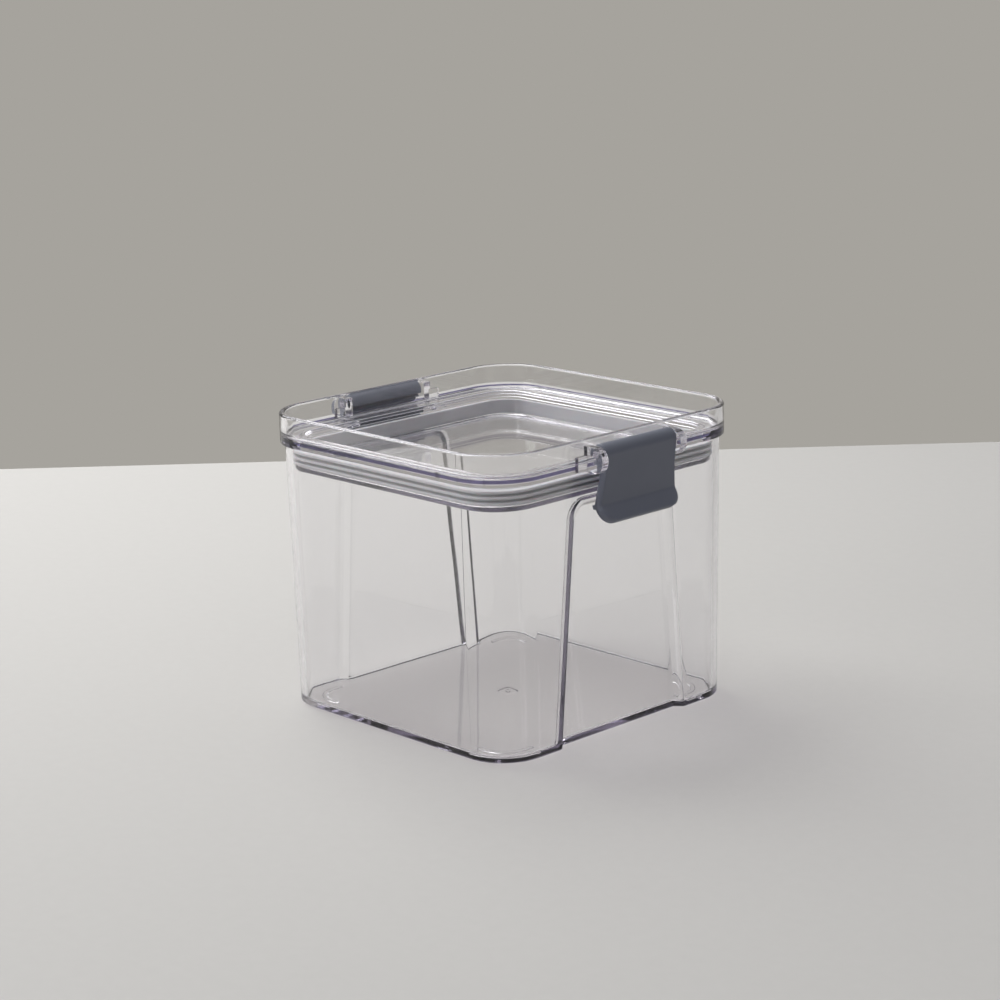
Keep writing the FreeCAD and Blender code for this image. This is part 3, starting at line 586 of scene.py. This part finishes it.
def hinge_ears(shape, body, hinge):
    """A pair of ears on one side of the lid, each with a low web outside it, and the axle between them."""
    side = math.copysign(1, hinge.x)
    reach = abs(hinge.x)
    inside = shape.half - shape.rim_wall / 2
    foot = shape.flange + shape.ear_foot
    ear = [(inside, shape.ear_level + shape.ear_radius), (inside, foot)]
    for step in range(EAR_STEPS + 1):
        angle = math.pi * (step / EAR_STEPS - 0.5)
        across = reach + shape.ear_radius * math.cos(angle)
        ear.append((across, shape.ear_level + shape.ear_radius * math.sin(angle)))
    front = shape.half + shape.web_reach
    head = foot + shape.web_height
    web = [(inside, foot), (front, foot), (front, head), (inside, head)]
    axle = []
    for step in range(AXLE_STEPS):
        angle = math.tau * step / AXLE_STEPS
        axle.append((reach + shape.axle * math.cos(angle), hinge.z + shape.axle * math.sin(angle)))
    near = shape.ear_spacing / 2
    far = near + shape.ear_thickness
    solids = []
    for low, high in ((near, far), (-far, -near)):
        solids.append(prism(f"ear_{body}", ear, low, high, side, shape.ear_edge))
    start = far - WEB_ROOT
    end = far + shape.web_length
    for low, high in ((start, end), (-end, -start)):
        solids.append(prism(f"web_{body}", web, low, high, side, shape.web_edge))
    middle = near + shape.ear_thickness / 2
    solids.append(prism(f"axle_{body}", axle, -middle, middle, side, shape.axle_edge))
    return solids


# Sockets of a node that mixes colours: its two colours and what comes out
MIX_FIRST = 6
MIX_SECOND = 7
MIX_RESULT = 2


def add_node(tree, kind, inputs=None, **settings):
    """Add a node with its settings. An input is given a value, an output to link, or a list of outputs."""
    node = tree.nodes.new(kind)
    for key, setting in settings.items():
        setattr(node, key, setting)
    for place, given in (inputs or {}).items():
        for source in given if isinstance(given, list) else [given]:
            if isinstance(source, bpy.types.NodeSocket):
                tree.links.new(source, node.inputs[place])
            else:
                node.inputs[place].default_value = source
    return node


# Radii at the corners of the band's and the lips' sections
GASKET_BAND_EDGE = 0.25 * MM
GASKET_LIP_EDGE = 0.3 * MM


def gasket_tree(material):
    """Geometry nodes: a band and repeated lips, carried round a rounded square."""
    tree = bpy.data.node_groups.new("lipped_ring", "GeometryNodeTree")
    for name in ("Back", "Reach", "Core", "Bottom", "Height", "Lip Root", "Lip Tip", "Corner Centre"):
        socket = tree.interface.new_socket(name, in_out="INPUT", socket_type="NodeSocketFloat")
        socket.subtype = "DISTANCE"
    tree.interface.new_socket("Lips", in_out="INPUT", socket_type="NodeSocketInt")
    tree.interface.new_socket("Ring", in_out="OUTPUT", socket_type="NodeSocketGeometry")
    values = {socket.name: socket for socket in tree.nodes.new("NodeGroupInput").outputs}

    # Lengths worked out from the inputs: name, operation and its two terms
    for name, operation, *terms in (
            ("width", "MULTIPLY", "Back", 2.0),
            ("corner", "SUBTRACT", "Back", "Corner Centre"),
            ("top", "MULTIPLY", "Height", 0.5),
            ("foot", "MULTIPLY", "Height", -0.5),
            ("tips", "SUBTRACT", "Reach", "Back"),
            ("start", "MULTIPLY", "Core", 0.5),
            ("root_top", "MULTIPLY", "Lip Root", 0.5),
            ("root_foot", "MULTIPLY", "Lip Root", -0.5),
            ("tip_top", "MULTIPLY", "Lip Tip", 0.5),
            ("tip_foot", "MULTIPLY", "Lip Tip", -0.5),
            ("pitch", "DIVIDE", "Height", "Lips"),
            ("half_pitch", "MULTIPLY", "pitch", 0.5),
            ("lowest_lip", "ADD", "foot", "half_pitch"),
            ("middle", "ADD", "Bottom", "top")):
        inputs = {place: values.get(term, term) for place, term in enumerate(terms)}
        values[name] = add_node(tree, "ShaderNodeMath", inputs, operation=operation).outputs[0]

    # The path is the ring's back, so a section's X is its distance outside it
    square = add_node(tree, "GeometryNodeCurvePrimitiveQuadrilateral",
                      {"Width": values["width"], "Height": values["width"]}, mode="RECTANGLE")
    path = add_node(tree, "GeometryNodeFilletCurve", {
        "Curve": square.outputs["Curve"], "Count": CORNER_STEPS, "Radius": values["corner"],
        "Limit Radius": False}, mode="POLY")
    upright = add_node(tree, "GeometryNodeSetCurveNormal", {"Curve": path.outputs["Curve"]}, mode="Z_UP")

    # Sections as four (across, up) corners, rounded and carried round the path
    rings = []
    for radius, corners in (
            (GASKET_BAND_EDGE, ((0.0, "foot"), ("Core", "foot"), ("Core", "top"), (0.0, "top"))),
            (GASKET_LIP_EDGE, (("start", "root_foot"), ("tips", "tip_foot"),
                               ("tips", "tip_top"), ("start", "root_top")))):
        points = {}
        for place, (across, up) in enumerate(corners, start=1):
            spot = add_node(tree, "ShaderNodeCombineXYZ", {"X": values.get(across, across), "Y": values[up]})
            points[f"Point {place}"] = spot.outputs[0]
        outline = add_node(tree, "GeometryNodeCurvePrimitiveQuadrilateral", points, mode="POINTS")
        soft = add_node(tree, "GeometryNodeFilletCurve", {
            "Curve": outline.outputs["Curve"], "Count": GASKET_EDGE_STEPS, "Radius": radius}, mode="POLY")
        ring = add_node(tree, "GeometryNodeCurveToMesh", {
            "Curve": upright.outputs["Curve"], "Profile Curve": soft.outputs["Curve"], "Fill Caps": False})
        rings.append(ring.outputs["Mesh"])
    band, lip = rings

    first = add_node(tree, "ShaderNodeCombineXYZ", {"Z": values["lowest_lip"]})
    stride = add_node(tree, "ShaderNodeCombineXYZ", {"Z": values["pitch"]})
    rise = add_node(tree, "ShaderNodeCombineXYZ", {"Z": values["middle"]})
    places = add_node(tree, "GeometryNodeMeshLine", {
        "Count": values["Lips"], "Start Location": first.outputs[0],
        "Offset": stride.outputs[0]}, mode="OFFSET")
    lips = add_node(tree, "GeometryNodeInstanceOnPoints", {"Points": places.outputs["Mesh"], "Instance": lip})
    both = add_node(tree, "GeometryNodeJoinGeometry", {"Geometry": [band, lips.outputs["Instances"]]})
    single = add_node(tree, "GeometryNodeRealizeInstances", {"Geometry": both.outputs[0]})
    placed = add_node(tree, "GeometryNodeTransform", {
        "Geometry": single.outputs[0], "Translation": rise.outputs[0]})
    shaded = add_node(tree, "GeometryNodeSetShadeSmooth", {"Geometry": placed.outputs[0]})
    finished = add_node(tree, "GeometryNodeSetMaterial", {
        "Geometry": shaded.outputs[0], "Material": material})
    add_node(tree, "NodeGroupOutput", {"Ring": finished.outputs[0]})
    return tree


def set_inputs(modifier, values):
    """Set a geometry-nodes modifier's inputs by their sockets' identifiers."""
    for socket in modifier.node_group.interface.items_tree:
        if socket.in_out == "INPUT" and socket.name in values:
            modifier[socket.identifier] = values[socket.name]


def new_material(name):
    """A new material, its node tree, its shader, and a place in the piece's own coordinates."""
    material = bpy.data.materials.new(name)
    material.use_nodes = True
    tree = material.node_tree
    shader = next(node for node in tree.nodes if node.type == "BSDF_PRINCIPLED")
    place = add_node(tree, "ShaderNodeTexCoord").outputs["Object"]
    return material, tree, shader, place


# The painted violet band on the lid's outside, painted shade in place of the light that leaves the flange's
# edge: how far its middle lies under the ledge, half its height, and how near to the outside a place has to
# be
PAINTED_BAND_DROP = 0.3 * MM
PAINTED_BAND_HALF = 0.55 * MM
PAINTED_BAND_REACH = 0.3 * MM
# What a shadow keeps of the light through a clear surface, where it is met squarely and where it mirrors
PASSED_SQUARELY = (1.0, 0.995, 1.0, 1.0)
PASSED_MIRRORING = (0.7, 0.69, 0.71, 1.0)
# How strongly each material bends light
STYRENE_IOR = 1.57
POLYPROPYLENE_IOR = 1.49
SILICONE_IOR = 1.41


def clear_plastic(finishes):
    """Clear styrene copolymer, moulded in a polished tool.

    It is as clear as glass and bends light a little more, with a faint violet cast where it is seen through
    a long way, and its surface is wavy by a hair where the plastic has shrunk.
    """
    material, tree, shader, place = new_material("clear_styrene_polished_mould")
    # Light that has come a long way along the lid's flange leaves its edge violet. This is painted shade: a
    # dark violet band painted into the base colour level with the ledge, wherever a place is as far from the
    # corners' centres as the lid's outside
    lid = bpy.context.scene.jar_lid_shape
    centre = bpy.context.scene.jar_shape.corner_centre
    beside = add_node(tree, "ShaderNodeVectorMath", {0: place}, operation="ABSOLUTE")
    beyond = add_node(tree, "ShaderNodeVectorMath", {
        0: beside.outputs[0], 1: (centre, centre, 1.0)}, operation="SUBTRACT")
    clear_of = add_node(tree, "ShaderNodeVectorMath", {
        0: beyond.outputs[0], 1: (0.0, 0.0, 0.0)}, operation="MAXIMUM")
    away = add_node(tree, "ShaderNodeVectorMath", {0: clear_of.outputs[0]}, operation="LENGTH")
    outside = add_node(tree, "ShaderNodeMath", {
        0: away.outputs["Value"], 1: lid.half - centre, 2: PAINTED_BAND_REACH}, operation="COMPARE")
    axes = add_node(tree, "ShaderNodeSeparateXYZ", {0: place})
    level = add_node(tree, "ShaderNodeMath", {
        0: axes.outputs["Z"], 1: lid.ledge - PAINTED_BAND_DROP, 2: PAINTED_BAND_HALF}, operation="COMPARE")
    band = add_node(tree, "ShaderNodeMath", {
        0: outside.outputs[0], 1: level.outputs[0]}, operation="MULTIPLY")
    cast = add_node(tree, "ShaderNodeMix", {
        MIX_FIRST: (1.0, 1.0, 1.0, 1.0), MIX_SECOND: (*finishes.flange, 1.0),
        "Factor": band.outputs[0]}, data_type="RGBA")
    tree.links.new(cast.outputs[MIX_RESULT], shader.inputs["Base Color"])
    shader.inputs["Transmission Weight"].default_value = 1.0
    shader.inputs["IOR"].default_value = STYRENE_IOR
    # Shrinkage waves are about 25 mm long; handling marks are about 3 mm apart
    waves = add_node(tree, "ShaderNodeTexNoise", {"Scale": 1 / (25 * MM), "Detail": 1.0, "Vector": place})
    marks = add_node(tree, "ShaderNodeTexNoise", {"Scale": 1 / (3 * MM), "Detail": 3.0, "Vector": place})
    gloss = add_node(tree, "ShaderNodeMapRange", {
        "Value": marks.outputs["Fac"], "From Min": 0.35, "From Max": 0.75, "To Min": 0.0, "To Max": 0.04})
    tree.links.new(gloss.outputs["Result"], shader.inputs["Roughness"])
    bump = add_node(tree, "ShaderNodeBump", {
        "Strength": 0.25, "Distance": 0.2 * MM, "Height": waves.outputs["Fac"]})
    tree.links.new(bump.outputs["Normal"], shader.inputs["Normal"])
    # Lamps shine through: what a surface mirrors away is all that a shadow loses
    mirrored = add_node(tree, "ShaderNodeFresnel", {"IOR": STYRENE_IOR})
    passed = add_node(tree, "ShaderNodeMix", {
        MIX_FIRST: PASSED_SQUARELY, MIX_SECOND: PASSED_MIRRORING,
        "Factor": mirrored.outputs["Fac"]}, data_type="RGBA")
    open_way = add_node(tree, "ShaderNodeBsdfTransparent", {"Color": passed.outputs[MIX_RESULT]})
    path = add_node(tree, "ShaderNodeLightPath")
    either = add_node(tree, "ShaderNodeMixShader", {
        0: path.outputs["Is Shadow Ray"], 1: shader.outputs[0], 2: open_way.outputs[0]})
    output = next(node for node in tree.nodes if node.type == "OUTPUT_MATERIAL")
    tree.links.new(either.outputs[0], output.inputs["Surface"])
    tint = add_node(tree, "ShaderNodeVolumeAbsorption", {
        "Color": (*finishes.tint, 1.0), "Density": finishes.tint_depth})
    tree.links.new(tint.outputs["Volume"], output.inputs["Volume"])
    return material


def satin_plastic(finishes):
    """Polypropylene, moulded in a spark-eroded tool.

    The fine grain of the tool gives it a satin face, and its slate colour varies a little as it flowed.
    """
    material, tree, shader, place = new_material("slate_polypropylene_satin_mould")
    flow = add_node(tree, "ShaderNodeTexNoise", {"Scale": 1 / (12 * MM), "Detail": 2.0, "Vector": place})
    cast = add_node(tree, "ShaderNodeMix", {
        MIX_FIRST: (*finishes.latch, 1.0), MIX_SECOND: (*finishes.latch_pale, 1.0),
        "Factor": flow.outputs["Fac"]}, data_type="RGBA")
    tree.links.new(cast.outputs[MIX_RESULT], shader.inputs["Base Color"])
    shader.inputs["IOR"].default_value = POLYPROPYLENE_IOR
    # The grain is about 0.05 mm; it is drawn at 0.2 mm, because finer would not show
    grain = add_node(tree, "ShaderNodeTexNoise", {"Scale": 1 / (0.2 * MM), "Detail": 2.0, "Vector": place})
    gloss = add_node(tree, "ShaderNodeMapRange", {
        "Value": grain.outputs["Fac"], "To Min": 0.38, "To Max": 0.52})
    tree.links.new(gloss.outputs["Result"], shader.inputs["Roughness"])
    bump = add_node(tree, "ShaderNodeBump", {
        "Strength": 0.15, "Distance": 0.04 * MM, "Height": grain.outputs["Fac"]})
    tree.links.new(bump.outputs["Normal"], shader.inputs["Normal"])
    return material


def grey_silicone(finishes):
    """Silicone rubber, pressed in a steel mould.

    Dull and a little waxy: soft highlights, light goes in a short way, and dust dims it unevenly.
    """
    material, tree, shader, place = new_material("grey_silicone_pressed")
    dust = add_node(tree, "ShaderNodeTexNoise", {"Scale": 1 / (6 * MM), "Detail": 4.0, "Vector": place})
    cast = add_node(tree, "ShaderNodeMix", {
        MIX_FIRST: (*finishes.silicone_dark, 1.0), MIX_SECOND: (*finishes.silicone, 1.0),
        "Factor": dust.outputs["Fac"]}, data_type="RGBA")
    tree.links.new(cast.outputs[MIX_RESULT], shader.inputs["Base Color"])
    shader.inputs["IOR"].default_value = SILICONE_IOR
    shader.inputs["Subsurface Weight"].default_value = 0.1
    shader.inputs["Subsurface Scale"].default_value = 1 * MM
    gloss = add_node(tree, "ShaderNodeMapRange", {
        "Value": dust.outputs["Fac"], "To Min": 0.5, "To Max": 0.65})
    tree.links.new(gloss.outputs["Result"], shader.inputs["Roughness"])
    return material


def floor_paint(finishes):
    """Matt paint, rolled on: an even pale grey with the roller's faint orange peel."""
    material, tree, shader, place = new_material("floor_matt_paint_rolled")
    peel = add_node(tree, "ShaderNodeTexNoise", {"Scale": 1 / (4 * MM), "Detail": 3.0, "Vector": place})
    # The tops of the peel are a little paler
    pale = tuple(min(1.0, 1.04 * part) for part in finishes.floor)
    cast = add_node(tree, "ShaderNodeMix", {
        MIX_FIRST: (*finishes.floor, 1.0), MIX_SECOND: (*pale, 1.0),
        "Factor": peel.outputs["Fac"]}, data_type="RGBA")
    tree.links.new(cast.outputs[MIX_RESULT], shader.inputs["Base Color"])
    shader.inputs["Roughness"].default_value = 0.85
    bump = add_node(tree, "ShaderNodeBump", {
        "Strength": 0.1, "Distance": 0.2 * MM, "Height": peel.outputs["Fac"]})
    tree.links.new(bump.outputs["Normal"], shader.inputs["Normal"])
    return material


def shared_material(make, finishes):
    """A material that more than one operator uses, made once."""
    key = make.__name__
    for material in bpy.data.materials:
        if material.get("made_by") == key:
            return material
    material = make(finishes)
    material["made_by"] = key
    return material


def hand_over(piece, node, body, material):
    """Give a finished piece its material and its place in the frame, and hide the solid that it stands for.
    """
    piece.data.materials.clear()
    piece.data.materials.append(material)
    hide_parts(node)
    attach(piece, body)


class STORAGE_JAR_OT_jar(bpy.types.Operator):
    """Make the clear jar"""

    bl_idname = "storage_jar.jar"
    bl_label = "Make jar"

    def execute(self, context):
        jar = smooth(jar_mesh(context.scene.jar_shape))
        material = shared_material(clear_plastic, context.scene.jar_finishes)
        hand_over(jar, "jar", "jar", material)
        return {"FINISHED"}


class STORAGE_JAR_OT_lid(bpy.types.Operator):
    """Make the clear lid with its hinge ears"""

    bl_idname = "storage_jar.lid"
    bl_label = "Make lid"

    def execute(self, context):
        scene = context.scene
        lid = smooth(lid_mesh(scene.jar_lid_shape, scene.jar_shape.corner_centre))
        hand_over(lid, "lid", "lid", shared_material(clear_plastic, scene.jar_finishes))
        return {"FINISHED"}


class STORAGE_JAR_OT_gasket(bpy.types.Operator):
    """Make the silicone ring round the lid's plug"""

    bl_idname = "storage_jar.gasket"
    bl_label = "Make gasket"

    def execute(self, context):
        scene = context.scene
        shape = scene.jar_gasket_shape
        material = shared_material(grey_silicone, scene.jar_finishes)
        ring = new_object("gasket_ring", bpy.data.meshes.new("gasket_ring"))
        modifier = ring.modifiers.new("lipped ring", "NODES")
        modifier.node_group = gasket_tree(material)
        set_inputs(modifier, {
            "Back": shape.back, "Reach": shape.reach, "Core": shape.core, "Bottom": shape.bottom,
            "Height": shape.height, "Lip Root": shape.root, "Lip Tip": shape.tip, "Lips": shape.lips,
            "Corner Centre": scene.jar_shape.corner_centre,
        })
        hand_over(smooth(weld(evaluated(ring))), "gasket", "lid", material)
        return {"FINISHED"}


class STORAGE_JAR_OT_latches(bpy.types.Operator):
    """Make the two flip latches"""

    bl_idname = "storage_jar.latches"
    bl_label = "Make latches"

    def execute(self, context):
        material = shared_material(satin_plastic, context.scene.jar_finishes)
        for node in HINGES:
            latch = new_object(f"{node}_moulding", frame["nodes"][node].data.copy())
            weld(latch)
            hand_over(smooth(latch), node, node, material)
        return {"FINISHED"}


VIEW_AZIMUTH = math.radians(46.54)
VIEW_ELEVATION = math.radians(15.42)
VIEW_ROLL = math.radians(-1.57)
VIEW_DISTANCE = 822.4 * MM
VIEW_TARGET = Vector((0.0, 0.0, 44.04 * MM))
LENS = 91.84
SENSOR_WIDTH = 36.0
SHIFT = (-0.00526, 0.06457)
# The floor's far edge behind the jar, its near edge behind the camera and half its width, in metres
FLOOR_FAR = 348 * MM
FLOOR_NEAR = -5
FLOOR_HALF = 4
# A hair below the feet, so that they share no plane
FLOOR_DROP = 0.02 * MM
# Name, azimuth and elevation in degrees, distance and width in metres, and watts
LAMPS = (
    ("key_window", -92, 50, 1.0, 0.85, 7.8),
    ("fill_card", 60, 50, 1.6, 1.2, 2.5),
    ("side_card", -20, 15, 1.2, 0.6, 2.6),
)


def camera_turn():
    """The camera's turn: level, looking down at the jar, with the slight roll of the hand that held it."""
    back = Vector((math.sin(VIEW_AZIMUTH) * math.cos(VIEW_ELEVATION),
                   -math.cos(VIEW_AZIMUTH) * math.cos(VIEW_ELEVATION), math.sin(VIEW_ELEVATION)))
    right = Vector((math.cos(VIEW_AZIMUTH), math.sin(VIEW_AZIMUTH), 0.0))
    turn = Matrix((right, back.cross(right), back)).transposed()
    return back, turn @ Matrix.Rotation(VIEW_ROLL, 3, "Z")


def studio_world(finishes, ahead):
    """A plain room: an even wall behind the jar, a darker room behind the camera and a pale ceiling."""
    world = bpy.data.worlds.new("plain_room")
    bpy.context.scene.world = world
    world.use_nodes = True
    tree = world.node_tree
    background = next(node for node in tree.nodes if node.type == "BACKGROUND")
    direction = add_node(tree, "ShaderNodeTexCoord").outputs["Generated"]
    facing = add_node(tree, "ShaderNodeVectorMath", {0: direction, 1: ahead}, operation="DOT_PRODUCT")
    share = add_node(tree, "ShaderNodeMapRange", {
        "Value": facing.outputs["Value"], "From Min": -0.1, "From Max": 0.7}, interpolation_type="SMOOTHSTEP")
    around = add_node(tree, "ShaderNodeMix", {
        MIX_FIRST: (*finishes.room, 1.0), MIX_SECOND: (*finishes.wall, 1.0),
        "Factor": share.outputs["Result"]}, data_type="RGBA")
    parts = add_node(tree, "ShaderNodeSeparateXYZ", {"Vector": direction})
    height = add_node(tree, "ShaderNodeMapRange", {
        "Value": parts.outputs["Z"], "From Min": 0.25, "From Max": 0.8}, interpolation_type="SMOOTHSTEP")
    whole = add_node(tree, "ShaderNodeMix", {
        MIX_FIRST: around.outputs[MIX_RESULT], MIX_SECOND: (*finishes.ceiling, 1.0),
        "Factor": height.outputs["Result"]}, data_type="RGBA")
    tree.links.new(whole.outputs[MIX_RESULT], background.inputs["Color"])


class STORAGE_JAR_OT_stage(bpy.types.Operator):
    """Make the floor, the room's light and the camera"""

    bl_idname = "storage_jar.stage"
    bl_label = "Make stage"

    def execute(self, context):
        scene = context.scene
        back, turn = camera_turn()
        lens = bpy.data.cameras.new("photo_camera")
        lens.lens = LENS
        lens.sensor_width = SENSOR_WIDTH
        lens.shift_x, lens.shift_y = SHIFT
        camera = bpy.data.objects.new("photo_camera", lens)
        scene.collection.objects.link(camera)
        camera.matrix_world = Matrix.Translation(VIEW_TARGET + back * VIEW_DISTANCE) @ turn.to_4x4()
        scene.camera = camera

        # The floor ends in a straight edge behind the jar, square to the view
        ahead = Vector((-back.x, -back.y, 0.0)).normalized()
        right = Vector((math.cos(VIEW_AZIMUTH), math.sin(VIEW_AZIMUTH), 0.0))
        below = Vector((0.0, 0.0, -FLOOR_DROP))
        outline = ((FLOOR_FAR, -FLOOR_HALF), (FLOOR_FAR, FLOOR_HALF),
                   (FLOOR_NEAR, FLOOR_HALF), (FLOOR_NEAR, -FLOOR_HALF))
        corners = [ahead * along + right * across + below for along, across in outline]
        mesh = bpy.data.meshes.new("floor")
        mesh.from_pydata(corners, [], [(3, 2, 1, 0)])
        floor = new_object("floor", mesh)
        mesh.materials.append(floor_paint(scene.jar_finishes))

        studio_world(scene.jar_finishes, ahead)
        for name, azimuth, elevation, distance, width, power in LAMPS:
            lamp = bpy.data.lights.new(name, "AREA")
            lamp.shape = "SQUARE"
            lamp.size = width
            lamp.energy = power
            holder = bpy.data.objects.new(name, lamp)
            scene.collection.objects.link(holder)
            swing = math.radians(azimuth)
            lift = math.radians(elevation)
            away = Vector((math.sin(swing) * math.cos(lift), -math.cos(swing) * math.cos(lift),
                           math.sin(lift)))
            holder.location = away * distance
            holder.rotation_euler = away.to_track_quat("Z", "Y").to_euler()
        scene.view_settings.view_transform = "Standard"
        # Light that is caught in a clear wall turns many times before it leaves
        scene.cycles.max_bounces = 32
        scene.cycles.transmission_bounces = 32
        scene.cycles.glossy_bounces = 16
        return {"FINISHED"}


class STORAGE_JAR_PT_panel(bpy.types.Panel):
    """Lists the makers of the jar's pieces"""

    bl_label = "Storage jar"
    bl_idname = "STORAGE_JAR_PT_panel"
    bl_space_type = "VIEW_3D"
    bl_region_type = "UI"
    bl_category = "Storage jar"

    def draw(self, context):
        for maker in OPERATORS:
            self.layout.operator(maker.bl_idname)
        for holder in HOLDERS:
            box = self.layout.box()
            group = getattr(context.scene, holder)
            for name in group.bl_rna.properties.keys():
                if name not in ("rna_type", "name"):
                    box.prop(group, name)


OPERATORS = (STORAGE_JAR_OT_stage, STORAGE_JAR_OT_jar, STORAGE_JAR_OT_lid, STORAGE_JAR_OT_gasket,
             STORAGE_JAR_OT_latches)
HOLDERS = {"jar_shape": JarShape, "jar_lid_shape": LidShape, "jar_gasket_shape": GasketShape,
           "jar_finishes": Finishes}


def register():
    for holder, group in HOLDERS.items():
        bpy.utils.register_class(group)
        setattr(bpy.types.Scene, holder, bpy.props.PointerProperty(type=group))
    for maker in (*OPERATORS, STORAGE_JAR_PT_panel):
        bpy.utils.register_class(maker)


def unregister():
    for maker in (STORAGE_JAR_PT_panel, *reversed(OPERATORS)):
        bpy.utils.unregister_class(maker)
    for holder, group in HOLDERS.items():
        delattr(bpy.types.Scene, holder)
        bpy.utils.unregister_class(group)


def main():
    register()
    bpy.ops.storage_jar.stage()
    bpy.ops.storage_jar.jar()
    bpy.ops.storage_jar.lid()
    bpy.ops.storage_jar.gasket()
    bpy.ops.storage_jar.latches()


if __name__ == "__main__":
    main()
